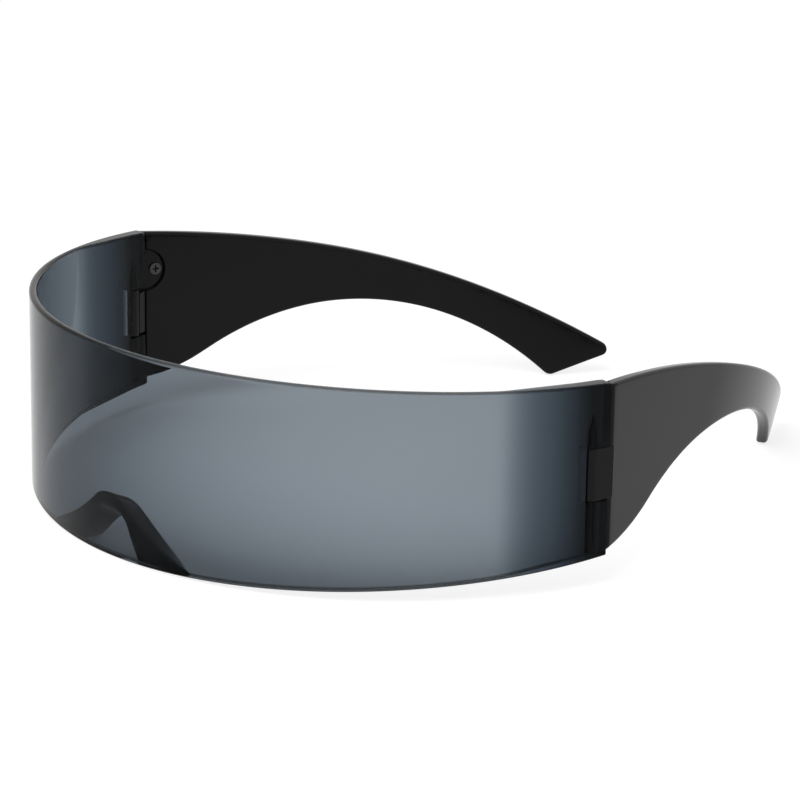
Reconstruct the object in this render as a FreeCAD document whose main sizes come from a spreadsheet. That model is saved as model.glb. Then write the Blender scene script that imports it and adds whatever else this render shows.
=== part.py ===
"""Shield sunglasses: a one-piece wrap lens, a nose saddle and two temples that fold on pins.

Millimetres, +Z up. The front of the lens faces -Y, and the wearer's left side is +X. The glasses
stand on the lens's lower edge and the two temple tips, with the floor at z = 0 and the origin below
the middle of their box.
"""
import FreeCAD
import Part
import Sketcher
import math
import os
from FreeCAD import Vector

# Driving dimensions: alias, size and meaning. Lengths in mm, angles in degrees.
SIZES = (
    ("front_to_origin", 81.447, "from the front of the lens back to the origin"),
    ("lens_radius", 73.7, "outside of the lens, in plan"),
    ("lens_half_angle", 82.0, "from the middle of the lens round to each end"),
    ("lens_thickness", 1.7, "wall of the lens"),
    ("lens_height", 41.9, "lens at the middle"),
    ("top_drop", 2.35, "fall of the upper edge from the middle to the ends"),
    ("bottom_rise", 5.6, "rise of the lower edge from the middle to the ends"),
    ("lug_thickness", 3.8, "lens end, where it is the hinge lug"),
    ("lug_length", 5.8, "thick part of the lug, forward from the end"),
    ("lug_ramp", 19.0, "slope from the lug down to the lens wall"),
    ("lug_corner", 0.8, "rounding of the lug's inner end"),
    ("hinge_setback", 2.95, "hinge axis forward of the lens end"),
    ("tongue_bottom", 16.8, "lower side of the tongue above the floor"),
    ("tongue_height", 10.4, "tongue between the two lugs"),
    ("tongue_gap", 0.15, "clearance above and below the tongue"),
    ("knuckle_clearance", 0.3, "clearance in front of the tongue's round end"),
    ("pin_diameter", 2.0, "hinge pin"),
    ("pin_lug_clearance", 0.02, "radial, pin in the lug"),
    ("pin_run_clearance", 0.05, "radial, pin in the tongue"),
    ("pin_recess", 0.8, "foot of the pin above the lens end's lower edge"),
    ("pin_hold", 2.7, "straight part of the pin in the upper lug"),
    ("pin_point", 3.9, "tapered point of the pin"),
    ("bore_tip_room", 0.3, "room over the pin's point"),
    ("temple_gap", 0.45, "between the lens end and the temple's front"),
    ("temple_thickness", 2.5, "wall of the temple"),
    ("temple_heading", 17.4, "inward lean of the temple's straight front part, in plan"),
    ("temple_lead", 27.7, "straight front part, in plan, level with the floor"),
    ("temple_bend", 212.0, "radius of the rest, in plan"),
    ("bend_tilt", 30.5, "backward slant of the bend's axis, which tucks the tip's lower edge in"),
    ("temple_front_top", 39.5, "upper edge at the hinge, above the floor"),
    ("temple_front_bottom", 6.4, "lower edge at the hinge, above the floor"),
    ("temple_top_radius", 259.0, "curve of the upper edge"),
    ("temple_top_fall", 3.65, "slope of the upper edge at the hinge"),
    ("heel_radius", 42.5, "hollow of the lower edge behind the hinge"),
    ("waist_back", 48.2, "highest point of the lower edge behind the hinge"),
    ("waist_height", 19.45, "highest point of the lower edge above the floor"),
    ("waist_radius", 61.7, "curve of the lower edge in front of that point"),
    ("tip_rest", 98.0, "where the tip rests on the floor, behind the hinge"),
    ("tip_lower_round", 2.0, "rounding of the tip's lower corner"),
    ("tip_upper_round", 1.5, "rounding of the tip's upper corner"),
    ("tip_slope", 20.0, "slope of the tip's end edge"),
    ("screw_back", 3.8, "screw behind the temple's front corner"),
    ("screw_height", 30.9, "screw above the floor"),
    ("pocket_radius", 4.7, "hollow round the screw, open to the temple's front"),
    ("pocket_depth", 0.7, "hollow round the screw"),
    ("screw_head_diameter", 2.6, "screw head"),
    ("screw_head_height", 0.7, "screw head"),
    ("screw_sink", 0.25, "how far the screw head is let into the hollow's floor"),
    ("screw_shank_diameter", 1.4, "screw shank"),
    ("screw_shank_length", 0.85, "screw shank"),
    ("screw_clearance", 0.02, "radial, screw in its hole"),
    ("screw_tip_room", 0.2, "room past the end of the shank"),
    ("recess_length", 1.5, "arms of the cross recess, end to end"),
    ("recess_width", 0.4, "arms of the cross recess"),
    ("recess_depth", 0.45, "cross recess"),
    ("nose_bond", 0.1, "bond line between saddle and lens"),
    ("nose_foot", 0.3, "foot of the saddle above the floor"),
    ("nose_depth", 6.0, "back of the saddle behind the front of the lens"),
    ("nose_half_width", 32.0, "saddle outline at the front of the lens"),
    ("nose_height", 13.0, "saddle outline at the front of the lens"),
    ("nose_crown", 6.0, "rounding of the saddle's top there"),
    ("nose_flare", 40.0, "hollow curve of the saddle's sides there"),
    ("arch_half_width", 8.5, "nose arch at the lens"),
    ("arch_height", 11.2, "nose arch at the lens"),
    ("arch_crown", 7.5, "rounding of the arch at the lens"),
    ("back_half_width", 19.2, "saddle outline at its back"),
    ("back_height", 10.3, "saddle outline at its back"),
    ("back_crown", 9.0, "rounding of the saddle's top at its back"),
    ("back_flare", 200.0, "hollow curve of the saddle's sides at its back"),
    ("back_arch_half_width", 8.0, "nose arch at the saddle's back"),
    ("back_arch_height", 6.2, "nose arch at the saddle's back"),
    ("back_arch_crown", 4.5, "rounding of the arch at the saddle's back"),
)

doc = FreeCAD.newDocument("shield_sunglasses")
sheet = doc.addObject("Spreadsheet::Sheet", "sizes")
for row, (alias, length, meaning) in enumerate(SIZES, start=1):
    sheet.set(f"A{row}", meaning)
    sheet.set(f"B{row}", str(length))
    sheet.setAlias(f"B{row}", alias)
doc.recompute()

# Places that several pieces share, as formulas on the sheet. On a lens end, "out" runs outwards along
# the end face and "back" runs square to it. The temple's "along" and "off" do so for its front part.
LENS_TURN = "sizes.lens_half_angle * 1 deg"
LEAN = "sizes.temple_heading * 1 deg"
CENTRE_Y = "sizes.lens_radius - sizes.front_to_origin"
LENS_DEPTH = f"(sizes.lens_radius * (1 - cos({LENS_TURN})))"
KNUCKLE = "(sizes.lug_thickness / 2)"
HINGE_OUT = f"(sizes.lens_radius - {KNUCKLE})"
HINGE_X = f"({HINGE_OUT} * sin({LENS_TURN}) - sizes.hinge_setback * cos({LENS_TURN}))"
HINGE_Y = f"({CENTRE_Y} - {HINGE_OUT} * cos({LENS_TURN}) - sizes.hinge_setback * sin({LENS_TURN}))"
FRONT_BACK = "(sizes.hinge_setback + sizes.temple_gap)"
CORNER_X = f"({KNUCKLE} * sin({LENS_TURN}) + {FRONT_BACK} * cos({LENS_TURN}))"
CORNER_Y = f"({FRONT_BACK} * sin({LENS_TURN}) - {KNUCKLE} * cos({LENS_TURN}))"
CORNER_ALONG = f"({CORNER_Y} * cos({LEAN}) - {CORNER_X} * sin({LEAN}))"
INNER_OFF = f"({CORNER_X} * cos({LEAN}) + {CORNER_Y} * sin({LEAN}) - sizes.temple_thickness)"
BEND_SLANT = "tan(sizes.bend_tilt * 1 deg)"
BAND_HEIGHT = "(sizes.temple_front_top + sizes.temple_thickness)"
FORE = f"({BAND_HEIGHT} * {BEND_SLANT})"
FRONT_WIDTH = f"(sizes.temple_thickness / sin({LENS_TURN} - {LEAN}))"
EDGE_ALONG = f"({CORNER_ALONG} + {FRONT_WIDTH} * cos({LENS_TURN} - {LEAN}))"
SEAT_OFF = f"({INNER_OFF} + sizes.pocket_depth)"
TONGUE_TOP = "(sizes.tongue_bottom + sizes.tongue_height)"
BAND_SWEEP = "((1.3 * sizes.tip_rest - sizes.temple_lead) / sizes.temple_bend * 1 rad)"
SIDE_TURN = f"({LEAN} + (sizes.tip_rest - sizes.temple_lead) / sizes.temple_bend / 2 * 1 rad)"
END_TURNED = "rotationz(sizes.lens_half_angle - 90)"

ORIGIN = (-1, 1)
H_AXIS, V_AXIS = range(-1, -3, -1)
START, END, CENTRE = range(1, 4)


def number(formula):
    """The value of a formula on the sheet."""
    result = sheet.evalExpression(formula)
    return float(getattr(result, "Value", result))


def new_body(name, placement="placement(vector(0; 0; 0); rotationz(0))"):
    body = doc.addObject("PartDesign::Body", name)
    body.Label = name
    body.setExpression("Placement", placement)
    return body


def plane_of(body, role):
    return next(item for item in body.Origin.OriginFeatures if item.Role == role)


def new_sketch(body, name, role, offset=None):
    sketch = body.newObject("Sketcher::SketchObject", name)
    sketch.AttachmentSupport = [(plane_of(body, role), "")]
    sketch.MapMode = "FlatFace"
    if offset:
        sketch.setExpression("AttachmentOffset", offset)
    return sketch


def add_line(sketch, start, end):
    return sketch.addGeometry(Part.LineSegment(Vector(*start, 0), Vector(*end, 0)), False)


def add_arc(sketch, centre, radius, first, last):
    """An arc drawn anticlockwise between two angles in radians."""
    circle = Part.Circle(Vector(*centre, 0), Vector(0, 0, 1), radius)
    return sketch.addGeometry(Part.ArcOfCircle(circle, first, last), False)


def tie(sketch, kind, *where):
    sketch.addConstraint(Sketcher.Constraint(kind, *where))


def bind(sketch, formula, kind, *where):
    """A dimension of the sketch that follows a formula on the sheet."""
    start = number(formula)
    if kind == "Angle":
        start = math.radians(start)
    index = sketch.addConstraint(Sketcher.Constraint(kind, *where, start))
    sketch.setExpression(f"Constraints[{index}]", formula)


def chain(sketch, *joints):
    """Joins the end of one element to the start of the next."""
    for joint in joints:
        tie(sketch, "Coincident", *joint)


def add_polygon(sketch, corners):
    """A closed polygon with every corner bound to its pair of formulas."""
    points = [(number(x), number(y)) for x, y in corners]
    lines = [add_line(sketch, p, q) for p, q in zip(points, points[1:] + points[:1])]
    for line, following in zip(lines, lines[1:] + lines[:1]):
        tie(sketch, "Coincident", line, END, following, START)
    for line, (x, y) in zip(lines, corners):
        bind(sketch, x, "DistanceX", *ORIGIN, line, START)
        bind(sketch, y, "DistanceY", *ORIGIN, line, START)


def add_circle(sketch, x, y, radius):
    centre = Vector(number(x), number(y), 0)
    circle = sketch.addGeometry(Part.Circle(centre, Vector(0, 0, 1), number(radius)), False)
    bind(sketch, x, "DistanceX", *ORIGIN, circle, CENTRE)
    bind(sketch, y, "DistanceY", *ORIGIN, circle, CENTRE)
    bind(sketch, radius, "Radius", circle)


def pad(body, name, sketch, length, direction=None):
    """A pad this high, straight up from its sketch or along a direction of three formulas."""
    feature = body.newObject("PartDesign::Pad", name)
    feature.Profile = sketch
    feature.setExpression("Length", length)
    if direction:
        feature.UseCustomVector = True
        feature.AlongSketchNormal = True
        feature.Direction = Vector(*(number(formula) for formula in direction))
        for axis, formula in zip("xyz", direction):
            feature.setExpression(f"Direction.{axis}", formula)
    doc.recompute()
    return feature


def pocket(body, name, sketch, length=None):
    """Cuts along the sketch's normal for a length, or right through both ways."""
    before = body.Shape.Volume
    feature = body.newObject("PartDesign::Pocket", name)
    feature.Profile = sketch
    if length:
        feature.Reversed = True
        feature.setExpression("Length", length)
    else:
        feature.SideType = "Symmetric"
        feature.Type = "ThroughAll"
    doc.recompute()
    if not feature.Shape.Volume < before:
        raise RuntimeError(f"{name} cut nothing")
    return feature


def mirror_sides(body, name, features):
    feature = body.newObject("PartDesign::Mirrored", name)
    feature.Originals = features
    feature.MirrorPlane = (plane_of(body, "YZ_Plane"), [""])
    body.Tip = feature
    doc.recompute()


def mirrored(source, name):
    """The other side's piece, as an image of this side's."""
    image = doc.addObject("Part::Mirroring", name)
    image.Label = name
    image.Source = source
    image.Normal = Vector(1, 0, 0)
    doc.recompute()
    return image


def revolve(body, name, corners):
    """A turned piece from its half outline on the XZ plane, about Z."""
    sketch = new_sketch(body, f"{name}_outline", "XZ_Plane")
    add_polygon(sketch, corners)
    feature = body.newObject("PartDesign::Revolution", name)
    feature.Profile = sketch
    feature.ReferenceAxis = (sketch, ["V_Axis"])
    doc.recompute()


def make_lens():
    """The lens wall, its two lugs, the trimmed edges, the notches for the tongues and the pin bores."""
    lens = new_body("shield_lens", f"placement(vector(0; {CENTRE_Y}; 0); rotationz(0))")
    outside = number("sizes.lens_radius")
    inside = number("sizes.lens_radius - sizes.lens_thickness")
    half = math.radians(number("sizes.lens_half_angle"))
    first, last = 1.5 * math.pi - half, 1.5 * math.pi + half
    ends = {(r, a): (r * math.cos(a), r * math.sin(a)) for r in (outside, inside) for a in (first, last)}

    plan = new_sketch(lens, "lens_plan", "XY_Plane")
    outer = add_arc(plan, (0, 0), outside, first, last)
    inner = add_arc(plan, (0, 0), inside, first, last)
    left_end = add_line(plan, ends[outside, last], ends[inside, last])
    right_end = add_line(plan, ends[inside, first], ends[outside, first])
    chain(plan, (outer, CENTRE, *ORIGIN), (inner, CENTRE, *ORIGIN))
    chain(plan, (outer, END, left_end, START), (left_end, END, inner, END))
    chain(plan, (inner, START, right_end, START), (right_end, END, outer, START))
    tie(plan, "PointOnObject", *ORIGIN, left_end)
    tie(plan, "PointOnObject", *ORIGIN, right_end)
    bind(plan, "sizes.lens_radius", "Radius", outer)
    bind(plan, "sizes.lens_radius - sizes.lens_thickness", "Radius", inner)
    for end in (START, END):
        bind(plan, f"sizes.lens_radius * cos({LENS_TURN})", "DistanceY", outer, end, *ORIGIN)
    pad(lens, "lens_wall", plan, "sizes.lens_height")

    lug = pad(lens, "lug", lug_plan(lens), "sizes.lens_height")
    mirror_sides(lens, "lugs", [lug])

    trim = new_sketch(lens, "edge_trim_side", "YZ_Plane")
    front, behind = "-sizes.lens_radius", "sizes.lens_radius"
    top_end = f"sizes.lens_height - sizes.top_drop * 2 * sizes.lens_radius / {LENS_DEPTH}"
    bottom_end = f"sizes.bottom_rise * 2 * sizes.lens_radius / {LENS_DEPTH}"
    above, below = "sizes.lens_height + sizes.top_drop", "-sizes.bottom_rise"
    add_polygon(trim, ((front, "sizes.lens_height"), (behind, top_end), (behind, above), (front, above)))
    add_polygon(trim, ((front, "0"), (front, below), (behind, below), (behind, bottom_end)))
    pocket(lens, "edge_trim", trim)

    notch_offset = f"placement(vector(0; 0; sizes.tongue_bottom - sizes.tongue_gap); {END_TURNED})"
    notch_plan = new_sketch(lens, "notch_plan", "XY_Plane", notch_offset)
    notch_in = f"sizes.lens_radius - sizes.lug_thickness - {KNUCKLE}"
    notch_out = f"sizes.lens_radius + {KNUCKLE}"
    notch_front = f"-(sizes.hinge_setback + {KNUCKLE} + sizes.knuckle_clearance)"
    add_polygon(notch_plan, ((notch_in, notch_front), (notch_out, notch_front),
                             (notch_out, KNUCKLE), (notch_in, KNUCKLE)))
    notch = pocket(lens, "notch", notch_plan, "sizes.tongue_height + 2 * sizes.tongue_gap")

    bore_plan = new_sketch(lens, "bore_plan", "XY_Plane", f"placement(vector(0; 0; 0); {END_TURNED})")
    add_circle(bore_plan, HINGE_OUT, "-sizes.hinge_setback", "sizes.pin_diameter / 2 + sizes.pin_lug_clearance")
    bore = pocket(lens, "bore", bore_plan,
                  f"{TONGUE_TOP} + sizes.pin_hold + sizes.pin_point + sizes.bore_tip_room")
    mirror_sides(lens, "hinge_cuts", [notch, bore])
    return lens


def lug_plan(lens):
    """The thick end of the lens: flat inside, rounded at the end and ramped down to the wall in front."""
    sketch = new_sketch(lens, "lug_plan", "XY_Plane", f"placement(vector(0; 0; 0); {END_TURNED})")
    in_wall = "sizes.lens_radius - sizes.lens_thickness / 2"
    face = "sizes.lens_radius - sizes.lug_thickness"
    ramp_back = "-(sizes.lug_length + sizes.lug_ramp)"
    ramp_out = f"sqrt(({in_wall}) ^ 2 - ({ramp_back}) ^ 2)"
    corner = number("sizes.lug_corner")
    wall_x, face_x = number(in_wall), number(face)
    foot = (number(ramp_out), number(ramp_back))
    shoulder = (face_x, -number("sizes.lug_length"))
    end = add_line(sketch, (wall_x, 0), (face_x + corner, 0))
    turn = add_arc(sketch, (face_x + corner, -corner), corner, math.pi / 2, math.pi)
    inside = add_line(sketch, (face_x, -corner), shoulder)
    ramp = add_line(sketch, shoulder, foot)
    chord = add_line(sketch, foot, (wall_x, 0))
    chain(sketch, (inside, END, ramp, START), (ramp, END, chord, START), (chord, END, end, START))
    tie(sketch, "Tangent", end, END, turn, START)
    tie(sketch, "Tangent", turn, END, inside, START)
    tie(sketch, "PointOnObject", end, START, H_AXIS)
    tie(sketch, "Horizontal", end)
    tie(sketch, "Vertical", inside)
    bind(sketch, "sizes.lug_corner", "Radius", turn)
    bind(sketch, in_wall, "DistanceX", *ORIGIN, end, START)
    bind(sketch, face, "DistanceX", *ORIGIN, inside, START)
    bind(sketch, "-sizes.lug_length", "DistanceY", *ORIGIN, inside, END)
    bind(sketch, ramp_out, "DistanceX", *ORIGIN, ramp, END)
    bind(sketch, ramp_back, "DistanceY", *ORIGIN, ramp, END)
    return sketch


def temple_plan(temple):
    """The temple from above: a straight front part, then one long bend towards the head.

    The band is padded along a slant, so the straight part starts well in front of the temple's front.
    """
    sketch = new_sketch(temple, "temple_plan", "XY_Plane")
    lean = math.radians(number("sizes.temple_heading"))
    along, off = Vector(-math.sin(lean), math.cos(lean), 0), Vector(math.cos(lean), math.sin(lean), 0)
    bend, wall = number("sizes.temple_bend"), number("sizes.temple_thickness")
    corner = Vector(number(CORNER_X), number(CORNER_Y), 0)
    out = Vector(math.sin(math.radians(number("sizes.lens_half_angle"))),
                 -math.cos(math.radians(number("sizes.lens_half_angle"))), 0)
    lead_end = corner + along * number("sizes.temple_lead")
    corner = corner - along * number(FORE)
    inner_corner = corner - out * number(FRONT_WIDTH)
    centre = lead_end - off * bend
    far = lean + math.radians(number(BAND_SWEEP))
    rim = Vector(math.cos(far), math.sin(far), 0)
    inner_lead_end = lead_end - off * wall

    outer_lead = add_line(sketch, corner[:2], lead_end[:2])
    outer_bend = add_arc(sketch, centre[:2], bend, lean, far)
    end = add_line(sketch, (centre + rim * bend)[:2], (centre + rim * (bend - wall))[:2])
    inner_bend = add_arc(sketch, centre[:2], bend - wall, lean, far)
    inner_lead = add_line(sketch, inner_lead_end[:2], inner_corner[:2])
    front = add_line(sketch, inner_corner[:2], corner[:2])
    tie(sketch, "Tangent", outer_lead, END, outer_bend, START)
    tie(sketch, "Tangent", inner_bend, START, inner_lead, START)
    chain(sketch, (outer_bend, END, end, START), (end, END, inner_bend, END))
    chain(sketch, (inner_lead, END, front, START), (front, END, outer_lead, START))
    tie(sketch, "Coincident", outer_bend, CENTRE, inner_bend, CENTRE)
    tie(sketch, "PointOnObject", outer_bend, CENTRE, end)
    run = f"(sizes.temple_lead + {FORE})"
    bind(sketch, f"{CORNER_X} + {FORE} * sin({LEAN})", "DistanceX", *ORIGIN, outer_lead, START)
    bind(sketch, f"{CORNER_Y} - {FORE} * cos({LEAN})", "DistanceY", *ORIGIN, outer_lead, START)
    bind(sketch, f"-{run} * sin({LEAN})", "DistanceX", outer_lead, START, outer_lead, END)
    bind(sketch, f"{run} * cos({LEAN})", "DistanceY", outer_lead, START, outer_lead, END)
    bind(sketch, "sizes.temple_bend", "Radius", outer_bend)
    bind(sketch, "sizes.temple_bend - sizes.temple_thickness", "Radius", inner_bend)
    bind(sketch, f"{FRONT_WIDTH} * sin({LENS_TURN})", "DistanceX", front, START, front, END)
    bind(sketch, f"sizes.temple_bend * sin({LEAN} + {BAND_SWEEP})", "DistanceY", outer_bend, CENTRE,
         outer_bend, END)
    return sketch


def point_at(centre, radius, angle):
    return centre[0] + radius * math.cos(angle), centre[1] + radius * math.sin(angle)


def angle_to(centre, point):
    return math.atan2(point[1] - centre[1], point[0] - centre[0])


def temple_side(temple):
    """The temple from the side, with a frame round it so that a cut leaves the outline.

    The upper edge is one long arc. The lower edge runs from the heel into the hollow waist and down
    to the tip, whose end slopes up between two rounded corners.
    """
    turned = f"placement(vector(0; 0; 0); rotationy({SIDE_TURN}))"
    sketch = new_sketch(temple, "temple_side", "YZ_Plane", turned)
    top_z, heel_z = number("sizes.temple_front_top"), number("sizes.temple_front_bottom")
    top_radius, fall = number("sizes.temple_top_radius"), math.radians(number("sizes.temple_top_fall"))
    waist = number("sizes.waist_back"), number("sizes.waist_height")
    waist_radius, heel_radius = number("sizes.waist_radius"), number("sizes.heel_radius")
    low_round, up_round = number("sizes.tip_lower_round"), number("sizes.tip_upper_round")
    slope = math.radians(number("sizes.tip_slope"))

    top_centre = -top_radius * math.sin(fall), top_z - top_radius * math.cos(fall)
    waist_centre = waist[0], waist[1] - waist_radius
    reach = waist_radius + heel_radius
    spread = math.hypot(waist_centre[0], waist_centre[1] - heel_z)
    swing = math.acos((heel_radius ** 2 + spread ** 2 - reach ** 2) / (2 * heel_radius * spread))
    heel_turn = angle_to((0, heel_z), waist_centre) + swing
    heel_centre = point_at((0, heel_z), heel_radius, heel_turn)
    heel_meets = point_at(heel_centre, heel_radius, angle_to(heel_centre, waist_centre))
    low_centre = number("sizes.tip_rest"), low_round
    away, down = low_centre[0] - waist[0], waist[1] - low_round
    rear_radius = (away ** 2 + down ** 2 - low_round ** 2) / (2 * (down + low_round))
    rear_centre = waist[0], waist[1] - rear_radius
    low_meets = point_at(rear_centre, rear_radius, angle_to(rear_centre, low_centre))
    end_start = point_at(low_centre, low_round, slope - math.pi / 2)
    end_mid = (end_start[0] - up_round * math.sin(slope), end_start[1] + up_round * math.cos(slope))
    offset = (end_mid[0] - top_centre[0], end_mid[1] - top_centre[1])
    along = offset[0] * math.cos(slope) + offset[1] * math.sin(slope)
    square = offset[0] ** 2 + offset[1] ** 2 - (top_radius - up_round) ** 2
    run = -along + math.sqrt(along ** 2 - square)
    up_centre = end_mid[0] + run * math.cos(slope), end_mid[1] + run * math.sin(slope)
    end_stop = point_at(up_centre, up_round, slope - math.pi / 2)

    heel = add_arc(sketch, heel_centre, heel_radius, angle_to(heel_centre, (0, heel_z)),
                   angle_to(heel_centre, heel_meets))
    fore = add_arc(sketch, waist_centre, waist_radius, math.pi / 2, angle_to(waist_centre, heel_meets))
    rear = add_arc(sketch, rear_centre, rear_radius, angle_to(rear_centre, low_meets), math.pi / 2)
    low = add_arc(sketch, low_centre, low_round, angle_to(low_centre, low_meets), slope - math.pi / 2)
    end = add_line(sketch, end_start, end_stop)
    up = add_arc(sketch, up_centre, up_round, slope - math.pi / 2, angle_to(top_centre, up_centre))
    top = add_arc(sketch, top_centre, top_radius, angle_to(top_centre, up_centre), math.pi / 2 - fall)
    front = add_line(sketch, (0, top_z), (0, heel_z))
    tie(sketch, "Tangent", heel, END, fore, END)
    tie(sketch, "Tangent", fore, START, rear, END)
    tie(sketch, "Tangent", rear, START, low, START)
    tie(sketch, "Tangent", low, END, end, START)
    tie(sketch, "Tangent", end, END, up, START)
    tie(sketch, "Tangent", up, END, top, START)
    chain(sketch, (top, END, front, START), (front, END, heel, START))
    tie(sketch, "Vertical", front)
    tie(sketch, "PointOnObject", front, START, V_AXIS)
    tie(sketch, "Vertical", fore, CENTRE, fore, START)
    bind(sketch, "sizes.temple_front_top", "DistanceY", *ORIGIN, front, START)
    bind(sketch, "sizes.temple_front_bottom", "DistanceY", *ORIGIN, front, END)
    bind(sketch, "sizes.temple_top_radius", "Radius", top)
    bind(sketch, "sizes.temple_top_radius * sin(sizes.temple_top_fall * 1 deg)", "DistanceX", top, CENTRE,
         *ORIGIN)
    bind(sketch, "sizes.waist_back", "DistanceX", *ORIGIN, fore, START)
    bind(sketch, "sizes.waist_height", "DistanceY", *ORIGIN, fore, START)
    bind(sketch, "sizes.waist_radius", "Radius", fore)
    bind(sketch, "sizes.heel_radius", "Radius", heel)
    bind(sketch, "sizes.tip_lower_round", "Radius", low)
    bind(sketch, "sizes.tip_rest", "DistanceX", *ORIGIN, low, CENTRE)
    bind(sketch, "sizes.tip_lower_round", "DistanceY", *ORIGIN, low, CENTRE)
    bind(sketch, "sizes.tip_slope * 1 deg", "Angle", end)
    bind(sketch, "sizes.tip_upper_round", "Radius", up)

    frame_front, frame_back = "-sizes.temple_front_top", "2 * sizes.tip_rest"
    frame_foot, frame_head = "-sizes.temple_front_top", "2 * sizes.lens_height"
    add_polygon(sketch, ((frame_front, frame_foot), (frame_back, frame_foot),
                         (frame_back, frame_head), (frame_front, frame_head)))
    return sketch


def tongue_plan(temple):
    """The tongue from above: a round knuckle on the hinge axis and a neck back to the temple."""
    offset = f"placement(vector(0; 0; sizes.tongue_bottom); {END_TURNED})"
    sketch = new_sketch(temple, "tongue_plan", "XY_Plane", offset)
    knuckle, back, width = number(KNUCKLE), number(FRONT_BACK), number(FRONT_WIDTH)
    inner = knuckle - width
    meets = (inner, math.sqrt(knuckle ** 2 - inner ** 2))
    outside = add_line(sketch, (knuckle, 0), (knuckle, back))
    root = add_line(sketch, (knuckle, back), (inner, back))
    inside = add_line(sketch, (inner, back), meets)
    nose = add_arc(sketch, (0, 0), knuckle, math.atan2(meets[1], meets[0]), 2 * math.pi)
    chain(sketch, (outside, END, root, START), (root, END, inside, START), (inside, END, nose, START))
    tie(sketch, "Coincident", nose, CENTRE, *ORIGIN)
    tie(sketch, "Tangent", nose, END, outside, START)
    tie(sketch, "Vertical", outside)
    tie(sketch, "Horizontal", root)
    tie(sketch, "Vertical", inside)
    bind(sketch, KNUCKLE, "Radius", nose)
    bind(sketch, FRONT_BACK, "DistanceY", *ORIGIN, root, START)
    bind(sketch, FRONT_WIDTH, "DistanceX", root, END, root, START)
    return sketch


def on_inside(off):
    """A plane along the temple's straight front part, this far off the hinge axis."""
    return f"placement(vector({off} * sin({LEAN}); 0; {off} * cos({LEAN})); rotationy(sizes.temple_heading))"


def hollow_outline(temple):
    """The hollow round the screw: half a disc on the inside face, run out through the temple's front."""
    sketch = new_sketch(temple, "screw_hollow_outline", "YZ_Plane", on_inside(INNER_OFF))
    edge, middle = number(EDGE_ALONG), number("sizes.screw_height")
    radius, ahead = number("sizes.pocket_radius"), number(f"{EDGE_ALONG} - {FRONT_BACK}")
    disc = add_arc(sketch, (edge, middle), radius, -math.pi / 2, math.pi / 2)
    upper = add_line(sketch, (edge, middle + radius), (ahead, middle + radius))
    front = add_line(sketch, (ahead, middle + radius), (ahead, middle - radius))
    lower = add_line(sketch, (ahead, middle - radius), (edge, middle - radius))
    tie(sketch, "Tangent", disc, END, upper, START)
    tie(sketch, "Tangent", lower, END, disc, START)
    chain(sketch, (upper, END, front, START), (front, END, lower, START))
    tie(sketch, "Horizontal", upper)
    tie(sketch, "Vertical", front)
    tie(sketch, "Horizontal", lower)
    bind(sketch, EDGE_ALONG, "DistanceX", *ORIGIN, disc, CENTRE)
    bind(sketch, "sizes.screw_height", "DistanceY", *ORIGIN, disc, CENTRE)
    bind(sketch, "sizes.pocket_radius", "Radius", disc)
    bind(sketch, FRONT_BACK, "DistanceX", upper, END, upper, START)
    return sketch


def make_temple():
    """The left temple, drawn about its own hinge axis."""
    temple = new_body("left_temple", f"placement(vector({HINGE_X}; {HINGE_Y}; 0); rotationz(0))")
    slant = (f"-{BEND_SLANT} * sin({LEAN})", f"{BEND_SLANT} * cos({LEAN})", "1")
    pad(temple, "temple_band", temple_plan(temple), BAND_HEIGHT, slant)
    front_cut = new_sketch(temple, "front_cut_plan", "XY_Plane", f"placement(vector(0; 0; 0); {END_TURNED})")
    ahead = f"{FRONT_BACK} - 2 * {FORE}"
    add_polygon(front_cut, ((f"-{FORE}", ahead), (FORE, ahead), (FORE, FRONT_BACK), (f"-{FORE}", FRONT_BACK)))
    pocket(temple, "front_cut", front_cut)
    pocket(temple, "side_cut", temple_side(temple))
    pad(temple, "tongue", tongue_plan(temple), "sizes.tongue_height")
    run = new_sketch(temple, "pin_run_plan", "XY_Plane")
    add_circle(run, "0", "0", "sizes.pin_diameter / 2 + sizes.pin_run_clearance")
    pocket(temple, "pin_run", run)

    pocket(temple, "screw_hollow", hollow_outline(temple), "sizes.pocket_depth")
    screw_along = f"{CORNER_ALONG} + sizes.screw_back"
    seat = new_sketch(temple, "screw_seat_outline", "YZ_Plane", on_inside(SEAT_OFF))
    add_circle(seat, screw_along, "sizes.screw_height", "sizes.screw_head_diameter / 2 + sizes.screw_clearance")
    pocket(temple, "screw_seat", seat, "sizes.screw_sink")
    hole = new_sketch(temple, "screw_hole_outline", "YZ_Plane", on_inside(SEAT_OFF))
    add_circle(hole, screw_along, "sizes.screw_height", "sizes.screw_shank_diameter / 2 + sizes.screw_clearance")
    pocket(temple, "screw_hole", hole, "sizes.screw_sink + sizes.screw_shank_length + sizes.screw_tip_room")
    return temple


def make_pin():
    """The left hinge pin, put in from below, with a tapered point in the upper lug."""
    pin = new_body("left_hinge_pin", f"placement(vector({HINGE_X}; {HINGE_Y}; 0); rotationz(0))")
    foot = "sizes.bottom_rise + sizes.pin_recess"
    neck = f"{TONGUE_TOP} + sizes.pin_hold"
    side = "sizes.pin_diameter / 2"
    revolve(pin, "pin", (("0", foot), (side, foot), (side, neck), ("0", f"{neck} + sizes.pin_point")))
    return pin


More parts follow.
